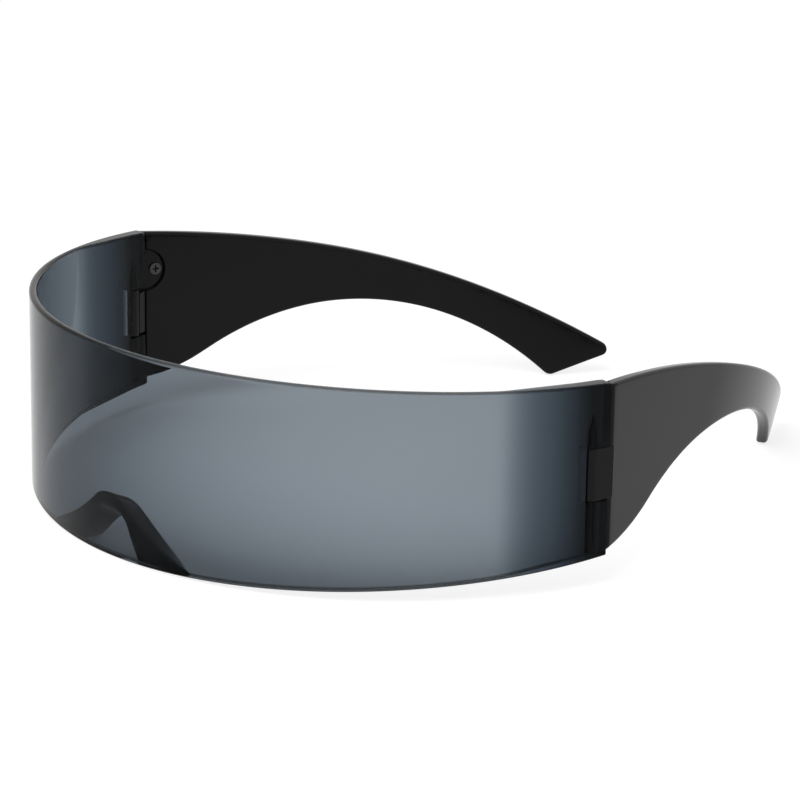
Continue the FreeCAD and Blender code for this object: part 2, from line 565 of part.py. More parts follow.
def make_screw():
    """The left temple's screw, square to the temple's inside face, in the hollow there."""
    back = f"({CORNER_ALONG} + sizes.screw_back)"
    x = f"{HINGE_X} + {SEAT_OFF} * cos({LEAN}) - {back} * sin({LEAN})"
    y = f"{HINGE_Y} + {SEAT_OFF} * sin({LEAN}) + {back} * cos({LEAN})"
    screw = new_body("left_temple_screw", f"placement(vector({x}; {y}; sizes.screw_height); "
                     "rotationz(sizes.temple_heading + 180) * rotationy(90))")
    seat, top = "-sizes.screw_sink", "sizes.screw_head_height - sizes.screw_sink"
    tip = "-(sizes.screw_sink + sizes.screw_shank_length)"
    shank, head = "sizes.screw_shank_diameter / 2", "sizes.screw_head_diameter / 2"
    revolve(screw, "turned", (("0", tip), (shank, tip), (shank, seat), (head, seat), (head, top), ("0", top)))
    floor = f"placement(vector(0; 0; {top} - sizes.recess_depth); rotationz(0))"
    arm = new_sketch(screw, "recess_outline", "XY_Plane", floor)
    half_length, half_width = "sizes.recess_length / 2", "sizes.recess_width / 2"
    add_polygon(arm, ((f"-{half_length}", f"-{half_width}"), (half_length, f"-{half_width}"),
                      (half_length, half_width), (f"-{half_length}", half_width)))
    slot = pocket(screw, "recess_arm", arm, "sizes.recess_depth")
    cross = screw.newObject("PartDesign::PolarPattern", "recess_cross")
    cross.Originals = [slot]
    cross.Axis = (plane_of(screw, "Z_Axis"), [""])
    cross.Angle = 360
    cross.Occurrences = 4
    screw.Tip = cross
    doc.recompute()
    return screw


def saddle_outline(nose, name, depth, half_width, height, crown, flare, arch_half, arch_height, arch_crown):
    """The saddle across the nose at one depth: a rounded peak, sides that flare out, and an arch below."""
    offset = f"placement(vector(0; 0; sizes.lens_radius - ({depth})); rotationz(0))"
    sketch = new_sketch(nose, name, "XZ_Plane", offset)
    foot = number("sizes.nose_foot")

    def leg(half, top, radius):
        """The arc's centre and the angle of the point where a line from the foot touches it."""
        centre = (0, number(top) - number(radius))
        outer = (number(half), foot)
        reach = math.hypot(outer[0], outer[1] - centre[1])
        turn = angle_to(centre, outer) + math.acos(number(radius) / reach)
        return centre, turn, point_at(centre, number(radius), turn)

    def flank(half, top, radius, hollow):
        """The peak's centre, the flare's, and the angle at which the flare leaves the peak for the foot."""
        centre = (0, number(top) - number(radius))
        outer = (number(half), foot)
        reach, apart = number(radius) + number(hollow), math.hypot(outer[0], outer[1] - centre[1])
        swing = math.acos((number(hollow) ** 2 - apart ** 2 - reach ** 2) / (2 * reach * apart))
        turn = angle_to(outer, centre) - swing
        return centre, point_at(centre, reach, turn), turn

    peak, bow, turn = flank(half_width, height, crown, flare)
    arch_centre, arch_turn, arch = leg(arch_half, arch_height, arch_crown)
    out, inner = number(half_width), number(arch_half)
    first, last = math.pi + turn, angle_to(bow, (out, foot)) % (2 * math.pi)
    left_foot = add_line(sketch, (inner, foot), (out, foot))
    left_side = add_arc(sketch, bow, number(flare), first, last)
    ridge = add_arc(sketch, peak, number(crown), turn, math.pi - turn)
    right_side = add_arc(sketch, (-bow[0], bow[1]), number(flare), 3 * math.pi - last, 3 * math.pi - first)
    right_foot = add_line(sketch, (-out, foot), (-inner, foot))
    right_leg = add_line(sketch, (-inner, foot), (-arch[0], arch[1]))
    vault = add_arc(sketch, arch_centre, number(arch_crown), arch_turn, math.pi - arch_turn)
    left_leg = add_line(sketch, arch, (inner, foot))
    chain(sketch, (left_foot, END, left_side, END), (right_side, START, right_foot, START))
    chain(sketch, (right_foot, END, right_leg, START), (left_leg, END, left_foot, START))
    tie(sketch, "Tangent", left_side, START, ridge, START)
    tie(sketch, "Tangent", ridge, END, right_side, END)
    tie(sketch, "Tangent", right_leg, END, vault, END)
    tie(sketch, "Tangent", vault, START, left_leg, START)
    tie(sketch, "PointOnObject", ridge, CENTRE, V_AXIS)
    tie(sketch, "PointOnObject", vault, CENTRE, V_AXIS)
    tie(sketch, "Horizontal", left_foot)
    tie(sketch, "Horizontal", right_foot)
    bind(sketch, "sizes.nose_foot", "DistanceY", *ORIGIN, left_foot, START)
    bind(sketch, "sizes.nose_foot", "DistanceY", *ORIGIN, right_foot, START)
    bind(sketch, half_width, "DistanceX", *ORIGIN, left_foot, END)
    bind(sketch, half_width, "DistanceX", right_foot, START, *ORIGIN)
    bind(sketch, arch_half, "DistanceX", *ORIGIN, left_foot, START)
    bind(sketch, arch_half, "DistanceX", right_foot, END, *ORIGIN)
    bind(sketch, crown, "Radius", ridge)
    bind(sketch, flare, "Radius", left_side)
    bind(sketch, flare, "Radius", right_side)
    bind(sketch, arch_crown, "Radius", vault)
    bind(sketch, f"{height} - {crown}", "DistanceY", *ORIGIN, ridge, CENTRE)
    bind(sketch, f"{arch_height} - {arch_crown}", "DistanceY", *ORIGIN, vault, CENTRE)
    return sketch


def make_nose():
    """The saddle: drawn from the front of the lens to its back, then cut to the lens's inside."""
    nose = new_body("nose_bridge", f"placement(vector(0; {CENTRE_Y}; 0); rotationz(0))")
    at_lens = saddle_outline(nose, "saddle_front", "0", "sizes.nose_half_width", "sizes.nose_height",
                             "sizes.nose_crown", "sizes.nose_flare", "sizes.arch_half_width",
                             "sizes.arch_height", "sizes.arch_crown")
    at_back = saddle_outline(nose, "saddle_back", "sizes.nose_depth", "sizes.back_half_width",
                             "sizes.back_height", "sizes.back_crown", "sizes.back_flare",
                             "sizes.back_arch_half_width", "sizes.back_arch_height",
                             "sizes.back_arch_crown")
    doc.recompute()
    loft = nose.newObject("PartDesign::AdditiveLoft", "saddle")
    loft.Profile = at_lens
    loft.Sections = [at_back]
    loft.Ruled = True
    doc.recompute()
    fit = new_sketch(nose, "lens_fit_plan", "XY_Plane")
    add_circle(fit, "0", "0", "sizes.lens_radius - sizes.lens_thickness - sizes.nose_bond")
    add_circle(fit, "0", "0", "2 * sizes.lens_radius")
    pocket(nose, "lens_fit", fit)
    return nose


lens = make_lens()
left_temple = make_temple()
left_pin = make_pin()
left_screw = make_screw()
pieces = [lens, make_nose(), left_temple, left_pin, left_screw]
pieces.append(mirrored(left_temple, "right_temple"))
pieces.append(mirrored(left_pin, "right_hinge_pin"))
pieces.append(mirrored(left_screw, "right_temple_screw"))
doc.recompute()

for item in doc.Objects:
    if "Invalid" in item.State or "Error" in item.State:
        raise RuntimeError(f"{item.Label} failed: {item.State}")
for piece in pieces:
    if piece.Shape.isNull() or not piece.Shape.isValid() or len(piece.Shape.Solids) != 1:
        raise RuntimeError(f"{piece.Label} is not one valid solid")

os.makedirs("parts", exist_ok=True)
for piece in pieces:
    piece.Shape.exportStep(os.path.join("parts", f"{piece.Label}.step"))
    box = piece.Shape.BoundBox
    print(f"{piece.Label}: {piece.Shape.Volume:.1f} mm3, x {box.XMin:.2f} to {box.XMax:.2f}, "
          f"y {box.YMin:.2f} to {box.YMax:.2f}, z {box.ZMin:.2f} to {box.ZMax:.2f}")
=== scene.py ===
# %% [markdown]
# # Shield sunglasses
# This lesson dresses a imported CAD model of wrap-round sunglasses: one curved smoke lens, a nose saddle
# behind it, and two black temples that fold on pins through the lens ends. The CAD gives every place and
# size. Here each piece gets its rounded edges and its finish, and then a camera and a white studio.

import math

import bmesh
import bpy
from mathutils import Matrix, Vector


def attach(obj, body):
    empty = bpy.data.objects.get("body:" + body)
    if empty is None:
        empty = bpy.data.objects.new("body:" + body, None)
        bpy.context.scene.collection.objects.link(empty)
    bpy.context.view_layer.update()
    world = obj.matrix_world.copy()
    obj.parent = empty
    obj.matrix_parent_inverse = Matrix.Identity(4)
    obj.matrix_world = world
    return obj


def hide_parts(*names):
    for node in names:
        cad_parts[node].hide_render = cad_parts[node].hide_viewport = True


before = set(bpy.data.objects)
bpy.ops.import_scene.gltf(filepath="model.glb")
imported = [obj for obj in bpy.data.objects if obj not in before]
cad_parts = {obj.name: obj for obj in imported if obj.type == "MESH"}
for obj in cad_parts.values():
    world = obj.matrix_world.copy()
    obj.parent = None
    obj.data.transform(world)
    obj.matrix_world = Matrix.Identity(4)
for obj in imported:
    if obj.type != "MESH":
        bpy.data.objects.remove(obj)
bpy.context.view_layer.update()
MM = 0.001

# %% [markdown]
# ## The sizes that the pieces share
# The lens is a part of a tube. Its middle is the arc centre, which lies ahead of the model's origin by the
# lens's distance to the origin less its radius. The hinge axis stands in the lug at the lens's end. All
# sizes are in millimetres, as on a drawing, and every mesh is scaled to metres once, when it is finished.

# %% Sizes of the lens and hinge
LENS_RADIUS = 73.7
LENS_TURN = math.radians(82.0)
LENS_WALL = 1.7
LENS_HEIGHT = 41.9
LENS_DEPTH = LENS_RADIUS * (1 - math.cos(LENS_TURN))
TOP_DROP, BOTTOM_RISE = 2.35, 5.6
LUG_WALL, LUG_LENGTH, LUG_RAMP = 3.8, 5.8, 19.0
FRONT_TO_ORIGIN = 81.447
ARC_CENTRE = Vector((0.0, LENS_RADIUS - FRONT_TO_ORIGIN, 0.0))
TONGUE_LOW, TONGUE_HIGH, TONGUE_GAP = 16.8, 27.2, 0.15
HINGE_SETBACK = 2.95
KNUCKLE = LUG_WALL / 2
KNUCKLE_ROOM = 0.3
NOTCH_DEPTH = HINGE_SETBACK + KNUCKLE + KNUCKLE_ROOM
OUT = Vector((math.sin(LENS_TURN), -math.cos(LENS_TURN), 0))
BACK = Vector((math.cos(LENS_TURN), math.sin(LENS_TURN), 0))
HINGE = ARC_CENTRE + OUT * (LENS_RADIUS - KNUCKLE) - BACK * HINGE_SETBACK
print("hinge axis in mm:", [round(x, 3) for x in HINGE])

# %% [markdown]
# ## A finished piece
# Every piece ends the same way. Its mesh is scaled to metres, its normals are turned outwards, and its
# faces are shaded smoothly. A Weighted Normal modifier lets the large faces keep their own direction, so
# that only the narrow rounded edges catch the light. The piece then rides on its CAD body and stands for
# its CAD node.

# %% Finishing a piece
SHARP_BEND, CREASE_BEND = math.radians(35), math.radians(50)


def sharp_edges(bm, least=SHARP_BEND):
    return [edge for edge in bm.edges if edge.is_manifold and edge.calc_face_angle() > least]


def round_edges(bm, edges, width, segments, clamp=True):
    bmesh.ops.bevel(bm, geom=edges, offset=width, offset_type="OFFSET", segments=segments, profile=0.5,
                    affect="EDGES", material=-1, clamp_overlap=clamp)


def finish_piece(bm, name, material, body, node):
    bmesh.ops.scale(bm, vec=(MM, MM, MM), verts=bm.verts)
    bmesh.ops.recalc_face_normals(bm, faces=bm.faces)
    for face in bm.faces:
        face.smooth = True
    for edge in sharp_edges(bm, CREASE_BEND):
        edge.smooth = False
    open_edges = sum(not edge.is_manifold for edge in bm.edges)
    mesh = bpy.data.meshes.new(name)
    bm.to_mesh(mesh)
    bm.free()
    mesh.materials.append(material)
    piece = bpy.data.objects.new(name, mesh)
    bpy.context.scene.collection.objects.link(piece)
    even = piece.modifiers.new("Even shading", "WEIGHTED_NORMAL")
    even.keep_sharp = True
    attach(piece, body)
    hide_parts(node)
    print(name, "faces:", len(mesh.polygons), "open edges:", open_edges)


# %% [markdown]
# ## Materials
# A material is a small network of nodes, and the same few steps come back in each: a new material with its
# main shader, a sum, a soft step from one value to another, and a mix of two colours. Each of them is a
# helper here, so that a finish below reads as a short list of what makes it.


# %% Node helpers
def new_material(name):
    material = bpy.data.materials.new(name)
    material.use_nodes = True
    nodes = material.node_tree.nodes
    return material, nodes, material.node_tree.links, nodes["Principled BSDF"]


def math_node(nodes, links, operation, *values):
    node = nodes.new("ShaderNodeMath")
    node.operation = operation
    for socket, value in zip(node.inputs, values):
        if isinstance(value, (int, float)):
            socket.default_value = value
        else:
            links.new(value, socket)
    return node.outputs[0]


def smooth_step(nodes, links, value, first, last):
    node = nodes.new("ShaderNodeMapRange")
    node.interpolation_type = "SMOOTHSTEP"
    node.inputs["From Min"].default_value = first
    node.inputs["From Max"].default_value = last
    links.new(value, node.inputs["Value"])
    return node.outputs["Result"]


def mix_colours(nodes, links, share, first, second):
    node = nodes.new("ShaderNodeMix")
    node.data_type = "RGBA"
    links.new(share, node.inputs["Factor"])
    for socket, value in ((node.inputs["A"], first), (node.inputs["B"], second)):
        if isinstance(value, tuple):
            socket.default_value = (*value, 1)
        else:
            links.new(value, socket)
    return node.outputs["Result"]


# %% [markdown]
# The lens is clear plastic with a smoke dye in it. A grey glass colour alone would look the same through
# thin and thick places. A Volume Absorption node takes more light the longer its way through the plastic
# is, so the thick hinge lugs turn dark by themselves. The surface tint adds painted shade. It is a little
# darker towards the lower edge for the lens's shadow on the floor behind it, and dark at the ends and along
# the upper and lower edges for the dark reflections there.

# %% Smoke lens
LENS_IOR, LENS_GLOSS = 1.2, 0.4
# Painted shade: the surface tint is a little darker towards the foot, and dark at the ends and along the
# rims.
LOW_PAINTED_SHADE, HIGH_PAINTED_SHADE, EDGE_PAINTED_SHADE = (0.95, 0.96, 0.97), (1, 1, 1), (0.13, 0.12, 0.11)
DYE_COLOUR, DYE_DENSITY = (0.176, 0.25, 0.314), 1000
# Where the painted shade at the ends and along the rims sets in.
END_SHADE_SPAN = math.radians(72), math.radians(81)
RIM_SHADE_SPAN = 0.6 * MM, 0.2 * MM


def painted_shade_masks(nodes, links):
    """The masks of the painted shade: how high a point of the lens is, and how close it is to an end, an
    upper or a lower edge.
    """
    place = nodes.new("ShaderNodeTexCoord")
    split = nodes.new("ShaderNodeSeparateXYZ")
    links.new(place.outputs["Object"], split.inputs[0])
    x, y, z = (split.outputs[axis] for axis in "XYZ")
    ahead = math_node(nodes, links, "SUBTRACT", ARC_CENTRE.y * MM, y)
    turn = math_node(nodes, links, "ABSOLUTE", math_node(nodes, links, "ARCTAN2", x, ahead))
    end = smooth_step(nodes, links, turn, *END_SHADE_SPAN)
    behind = math_node(nodes, links, "ADD", y, FRONT_TO_ORIGIN * MM)
    drop = math_node(nodes, links, "MULTIPLY", behind, TOP_DROP / LENS_DEPTH)
    rise = math_node(nodes, links, "MULTIPLY", behind, BOTTOM_RISE / LENS_DEPTH)
    raised = math_node(nodes, links, "ADD", z, drop)
    below_top = math_node(nodes, links, "SUBTRACT", LENS_HEIGHT * MM, raised)
    over_foot = math_node(nodes, links, "SUBTRACT", z, rise)
    inwards = math_node(nodes, links, "MINIMUM", below_top, over_foot)
    rim = smooth_step(nodes, links, inwards, *RIM_SHADE_SPAN)
    height = smooth_step(nodes, links, z, 0, LENS_HEIGHT * MM)
    return height, math_node(nodes, links, "MAXIMUM", end, rim)


def smoke_lens():
    material, nodes, links, shader = new_material("smoke_lens")
    shader.inputs["Transmission Weight"].default_value = 1.0
    shader.inputs["Roughness"].default_value = 0.0
    shader.inputs["IOR"].default_value = LENS_IOR
    shader.inputs["Specular Tint"].default_value = (LENS_GLOSS, LENS_GLOSS, LENS_GLOSS, 1)
    height, edge = painted_shade_masks(nodes, links)
    # The base colour holds painted shade: darker towards the foot, and dark at the ends and along the rims.
    painted_shade_tint = mix_colours(nodes, links, height, LOW_PAINTED_SHADE, HIGH_PAINTED_SHADE)
    painted_shade_tint = mix_colours(nodes, links, edge, painted_shade_tint, EDGE_PAINTED_SHADE)
    links.new(painted_shade_tint, shader.inputs["Base Color"])
    dye = nodes.new("ShaderNodeVolumeAbsorption")
    dye.inputs["Color"].default_value = (*DYE_COLOUR, 1)
    dye.inputs["Density"].default_value = DYE_DENSITY
    links.new(dye.outputs[0], nodes["Material Output"].inputs["Volume"])
    return material


# %% [markdown]
# The temples and the saddle are moulded black plastic: nearly black, with a faint uneven polish. Pins and
# screws are blackened steel with fine marks. One helper gives both their uneven gloss: a noise pattern that
# is fixed to the piece moves the roughness up and down a little. The pins and screws keep their CAD meshes,
# so they only change their material.

# %% Black plastic and steel
POLISH_SCALE, POLISH_DETAIL, POLISH_SPREAD = 90, 4, 0.2
STEEL_COLOUR, STEEL_ROUGHNESS = (0.06, 0.06, 0.062), (0.25, 0.45)
STEEL_SCALE, STEEL_DETAIL = 2500, 2


def uneven_gloss(nodes, links, shader, scale, detail, least, most):
    place = nodes.new("ShaderNodeTexCoord")
    pattern = nodes.new("ShaderNodeTexNoise")
    pattern.inputs["Scale"].default_value = scale
    pattern.inputs["Detail"].default_value = detail
    links.new(place.outputs["Object"], pattern.inputs["Vector"])
    spread = nodes.new("ShaderNodeMapRange")
    spread.inputs["To Min"].default_value = least
    spread.inputs["To Max"].default_value = most
    links.new(pattern.outputs["Fac"], spread.inputs["Value"])
    links.new(spread.outputs["Result"], shader.inputs["Roughness"])


def black_plastic(name, colour, roughness, ior):
    material, nodes, links, shader = new_material(name)
    shader.inputs["Base Color"].default_value = (*colour, 1)
    shader.inputs["IOR"].default_value = ior
    least, most = roughness * (1 - POLISH_SPREAD), roughness * (1 + POLISH_SPREAD)
    uneven_gloss(nodes, links, shader, POLISH_SCALE, POLISH_DETAIL, least, most)
    return material


def steel():
    material, nodes, links, shader = new_material("steel")
    shader.inputs["Metallic"].default_value = 1.0
    shader.inputs["Base Color"].default_value = (*STEEL_COLOUR, 1)
    uneven_gloss(nodes, links, shader, STEEL_SCALE, STEEL_DETAIL, *STEEL_ROUGHNESS)
    return material


LENS_FINISH = smoke_lens()
TEMPLE_FINISH = black_plastic("black_temple", colour=(0.003, 0.003, 0.0031), roughness=0.15, ior=1.23)
SADDLE_FINISH = black_plastic("black_saddle", colour=(0.004, 0.004, 0.0045), roughness=0.08, ior=1.4)
STEEL_FINISH = steel()
for node in ("left_hinge_pin", "right_hinge_pin", "left_temple_screw", "right_temple_screw"):
    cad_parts[node].data.materials.clear()
    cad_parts[node].data.materials.append(STEEL_FINISH)
print("finishes:", [item.name for item in (LENS_FINISH, TEMPLE_FINISH, SADDLE_FINISH, STEEL_FINISH)])

# %% [markdown]
# ## The lens
# A tube wall could be drawn as a cylinder and cut open, but a spin gives the same wall from one small
# cross-section, with an even row of faces along it. The section has three cells, one above the other, so
# that the middle one can be taken out at both ends for the tongues. The spin runs in three parts, which
# puts a row of edges where each notch stops. The upper and lower edges are then brought to their slanting
# planes, and the inside of each end is thickened into a lug.

# %% Lens wall by spinning
RAMP_BLEND = 0.4
LENS_LEVELS = (0.0, TONGUE_LOW - TONGUE_GAP, TONGUE_HIGH + TONGUE_GAP, LENS_HEIGHT)
NOTCH_TURN = NOTCH_DEPTH / LENS_RADIUS
NOTCH_STEPS, WALL_STEPS = 4, 156


def turn_of(point):
    return math.atan2(point.x, -point.y)


def inner_radius(swing):
    """The inside of the lens this far round from its end: the lug's flat, its straight ramp, the wall."""
    shoulder = Vector((LENS_RADIUS - LUG_WALL, LUG_LENGTH))
    reach = LUG_LENGTH + LUG_RAMP
    foot = Vector((math.sqrt((LENS_RADIUS - LENS_WALL / 2) ** 2 - reach ** 2), reach))
    wall = LENS_RADIUS - LENS_WALL
    if math.tan(swing) * shoulder.x < shoulder.y:
        return shoulder.x / math.cos(swing)
    if swing > 2 * math.atan2(foot.y, foot.x):
        return wall
    ramp, sight = foot - shoulder, Vector((math.cos(swing), math.sin(swing)))
    rising = shoulder.cross(ramp) / sight.cross(ramp)
    overlap = max(0, 1 - abs(wall - rising) / RAMP_BLEND)
    return min(wall, rising) - overlap ** 2 * RAMP_BLEND / 4


def spin_lens(bm):
    radii = (LENS_RADIUS - LENS_WALL, LENS_RADIUS)
    rows = [[bm.verts.new((0, -radius, z)) for radius in radii] for z in LENS_LEVELS]
    section = [bm.faces.new((low[0], low[1], high[1], high[0])) for low, high in zip(rows, rows[1:])]
    bmesh.ops.rotate(bm, verts=bm.verts, matrix=Matrix.Rotation(-LENS_TURN, 3, "Z"))
    notch = (NOTCH_TURN, NOTCH_STEPS)
    for part, (angle, steps) in enumerate((notch, (2 * (LENS_TURN - NOTCH_TURN), WALL_STEPS), notch)):
        made = bmesh.ops.spin(bm, geom=section, axis=(0, 0, 1), angle=angle, steps=steps)
        if part > 0:
            bmesh.ops.delete(bm, geom=section, context="FACES_ONLY")
        section = [item for item in made["geom_last"] if isinstance(item, bmesh.types.BMFace)]


def cut_notches(bm):
    def in_notch(face):
        middle = face.calc_center_median()
        return LENS_LEVELS[1] < middle.z < LENS_LEVELS[2] and abs(turn_of(middle)) > LENS_TURN - NOTCH_TURN

    bmesh.ops.delete(bm, geom=[face for face in bm.faces if in_notch(face)], context="FACES")
    for side in (-1, 1):
        rim = [edge for edge in bm.edges if edge.is_boundary and edge.verts[0].co.x * side > 0]
        along = [edge for edge in rim
                 if abs(edge.verts[0].co.xy.length - edge.verts[1].co.xy.length) < LENS_WALL / 2]
        bmesh.ops.bridge_loops(bm, edges=along)


def shape_lens(bm):
    lower_half, upper_half = LENS_LEVELS[1] / 2, (LENS_LEVELS[2] + LENS_LEVELS[3]) / 2
    for vert in bm.verts:
        fall = (vert.co.y + LENS_RADIUS) / LENS_DEPTH
        if vert.co.z > upper_half:
            vert.co.z = LENS_HEIGHT - TOP_DROP * fall
        elif vert.co.z < lower_half:
            vert.co.z = BOTTOM_RISE * fall
        if vert.co.xy.length < LENS_RADIUS - LENS_WALL / 2:
            swing = LENS_TURN - abs(turn_of(vert.co))
            vert.co.xy = vert.co.xy.normalized() * inner_radius(swing)


# %% [markdown]
# The photograph shows a rounded band along the top of the lens and a thin dark line along its foot. So the
# upper rim is rounded nearly to a half circle, the lower one only a little, and the notches less still. A
# bevel that is clamped stops at the narrowest face, so the two rims are rounded without a clamp.

# %% The finished lens
LUG_CORNER, TOP_ROUND, LOW_ROUND, NOTCH_ROUND = 0.8, 0.75, 0.25, 0.2
TINY = 0.001


def lug_corners(bm):
    return [edge for edge in bm.edges
            if all(abs(abs(turn_of(v.co)) - LENS_TURN) < TINY for v in edge.verts)
            and all(v.co.xy.length < LENS_RADIUS - LENS_WALL for v in edge.verts)]


def long_rims(bm):
    """The edges that run along the top of the lens, and those along its foot."""
    rims = [edge for edge in sharp_edges(bm)
            if abs(edge.verts[0].co.z - LENS_HEIGHT / 2) > LENS_HEIGHT / 3
            and abs(turn_of(edge.verts[0].co) - turn_of(edge.verts[1].co)) > TINY]
    top = [edge for edge in rims if edge.verts[0].co.z > LENS_HEIGHT / 2]
    low = [edge for edge in rims if edge.verts[0].co.z < LENS_HEIGHT / 2]
    return top, low


def make_lens():
    bm = bmesh.new()
    spin_lens(bm)
    cut_notches(bm)
    shape_lens(bm)
    round_edges(bm, lug_corners(bm), LUG_CORNER, segments=5)
    top_rims, low_rims = long_rims(bm)
    round_edges(bm, top_rims, TOP_ROUND, segments=6, clamp=False)
    round_edges(bm, low_rims, LOW_ROUND, segments=3, clamp=False)
    round_edges(bm, sharp_edges(bm), NOTCH_ROUND, segments=2)
    bmesh.ops.translate(bm, vec=ARC_CENTRE, verts=bm.verts)
    finish_piece(bm, "lens", LENS_FINISH, "front", "shield_lens")


make_lens()

# %% [markdown]
# ## The temples
# A temple is a thin plate with a curved outline, bent towards the head. Its outline is drawn flat with
# compass arcs, each spun from the point where the last one stopped. The flat face is inset a few times
# for the rings of its rounded edge, cut into small cells so that it can bend, doubled into a plate, and
# laid on its bent path. A Curve modifier could bend the plate too, but a formula puts each point exactly
# on the band that the CAD has.

# %% Sizes of the temple
WALL, EDGE_ROUND = 2.5, 0.75
LEAN = math.radians(17.4)
LEAD, BEND = 27.7, 212.0
BEND_SLANT = math.tan(math.radians(30.5))
FRONT_TOP, FRONT_BOTTOM = 39.5, 6.4
TOP_RADIUS, TOP_FALL = 259.0, math.radians(3.65)
HEEL_RADIUS, WAIST_RADIUS = 42.5, 61.7
WAIST = Vector((48.2, 19.45))
TIP_REST, TIP_LOW, TIP_UP, TIP_SLOPE = 98.0, 2.0, 1.5, math.radians(20)
SIDE_TURN = LEAN + (TIP_REST - LEAD) / BEND / 2
FRONT_ROOM = 0.45
FRONT_BACK = HINGE_SETBACK + FRONT_ROOM
CORNER = OUT * KNUCKLE + BACK * FRONT_BACK
FRONT_WIDTH = WALL / math.sin(LENS_TURN - LEAN)
INNER_CORNER = CORNER - OUT * FRONT_WIDTH
print("turn of the side view in degrees:", round(math.degrees(SIDE_TURN), 2))


def heading(angle):
    return Vector((-math.sin(angle), math.cos(angle), 0))


def sideways(angle):
    return Vector((math.cos(angle), math.sin(angle), 0))


def angle_of(centre, point):
    return math.atan2(point.y - centre.y, point.x - centre.x)


# %% [markdown]
# The arcs touch one another, so their centres follow from the radii. The heel's centre is found from a
# triangle with the waist's centre, and the tip's upper rounding sits where it touches both the long top
# arc and the sloping end.

# %% The outline's centres
FRONT = CORNER.dot(heading(SIDE_TURN))
top_centre = Vector((-TOP_RADIUS * math.sin(TOP_FALL), FRONT_TOP - TOP_RADIUS * math.cos(TOP_FALL)))
waist_centre = WAIST - Vector((0, WAIST_RADIUS))
heel_foot = Vector((0, FRONT_BOTTOM))
apart = (waist_centre - heel_foot).length
cosine = (HEEL_RADIUS ** 2 + apart ** 2 - (HEEL_RADIUS + WAIST_RADIUS) ** 2) / (2 * HEEL_RADIUS * apart)
heel_turn = angle_of(heel_foot, waist_centre) + math.acos(cosine)
heel_centre = heel_foot + HEEL_RADIUS * Vector((math.cos(heel_turn), math.sin(heel_turn)))
low_centre = Vector((TIP_REST, TIP_LOW))
away, down = low_centre.x - WAIST.x, WAIST.y - TIP_LOW
rear_radius = (away ** 2 + down ** 2 - TIP_LOW ** 2) / (2 * (down + TIP_LOW))
rear_centre = WAIST - Vector((0, rear_radius))
end_run = Vector((math.cos(TIP_SLOPE), math.sin(TIP_SLOPE)))
end_side = Vector((-end_run.y, end_run.x))
end_mid = low_centre + end_side * (TIP_UP - TIP_LOW)
gap = end_mid - top_centre
along = gap.dot(end_run)
run = math.sqrt(along ** 2 - gap.length_squared + (TOP_RADIUS - TIP_UP) ** 2) - along
up_centre = end_mid + end_run * run
print("temple tip in side view:", [round(x, 2) for x in up_centre])


# %% Drawing the outline
def draw_arc(bm, pen, centre, last, steps):
    """Spins the pen's point about a centre up to an angle, and gives back the new point."""
    first = angle_of(centre, pen.co)
    made = bmesh.ops.spin(bm, geom=[pen], cent=(centre.x, centre.y, 0), axis=(0, 0, 1),
                          angle=last - first, steps=steps)
    return next(item for item in made["geom_last"] if isinstance(item, bmesh.types.BMVert))


def draw_line(bm, pen, end):
    point = bm.verts.new((*end, 0))
    bm.edges.new((pen, point))
    return point


def temple_outline(bm):
    heel_low = heel_centre.y - math.sqrt(HEEL_RADIUS ** 2 - (FRONT - heel_centre.x) ** 2)
    top_front = top_centre.y + math.sqrt(TOP_RADIUS ** 2 - (FRONT - top_centre.x) ** 2)
    start = bm.verts.new((FRONT, heel_low, 0))
    pen = draw_arc(bm, start, heel_centre, angle_of(heel_centre, waist_centre), steps=24)
    pen = draw_arc(bm, pen, waist_centre, math.pi / 2, steps=16)
    pen = draw_arc(bm, pen, rear_centre, angle_of(rear_centre, low_centre), steps=36)
    pen = draw_arc(bm, pen, low_centre, TIP_SLOPE - math.pi / 2, steps=8)
    pen = draw_line(bm, pen, up_centre - end_side * TIP_UP)
    pen = draw_arc(bm, pen, up_centre, angle_of(top_centre, up_centre), steps=10)
    pen = draw_arc(bm, pen, top_centre, angle_of(top_centre, Vector((FRONT, top_front))), steps=60)
    bm.edges.new((pen, start))
    return bmesh.ops.contextual_create(bm, geom=bm.edges[:])["faces"][0]


# %% [markdown]
# Each ring remembers how far it lies inside the outline. The rounding follows from that: a point that is
# close to the outline sinks into the plate along a quarter circle. The bend's axis slants backwards, so
# the bend starts later towards the top. The plate's front lies along the lug's end and not square to the
# plate, so its inside starts at another place than its outside, and that shift fades out behind it.

# %% Flat cells and the bent path
EDGE_RINGS = 4
COLUMNS = ((1, 0, 0), FRONT + 2, 106, 54)
ROWS = ((0, 1, 0), 3, 37, 12)
CUT_MERGE = 0.0001
FRONT_FADE = 15


def temple_cells(bm):
    face = temple_outline(bm)
    depth = bm.verts.layers.float.new("depth")
    made = 0.0
    for ring in range(1, EDGE_RINGS + 1):
        wanted = EDGE_ROUND * (1 - math.cos(math.pi / 2 * ring / EDGE_RINGS))
        bmesh.ops.inset_region(bm, faces=[face], thickness=wanted - made, use_boundary=True,
                               use_even_offset=True)
        made = wanted
        for vert in face.verts:
            vert[depth] = made
    for axis, first, last, count in (COLUMNS, ROWS):
        for step in range(count):
            place = Vector(axis) * (first + (last - first) * step / (count - 1))
            everything = bm.verts[:] + bm.edges[:] + bm.faces[:]
            bmesh.ops.bisect_plane(bm, geom=everything, dist=CUT_MERGE, plane_co=place, plane_no=axis)
    return depth


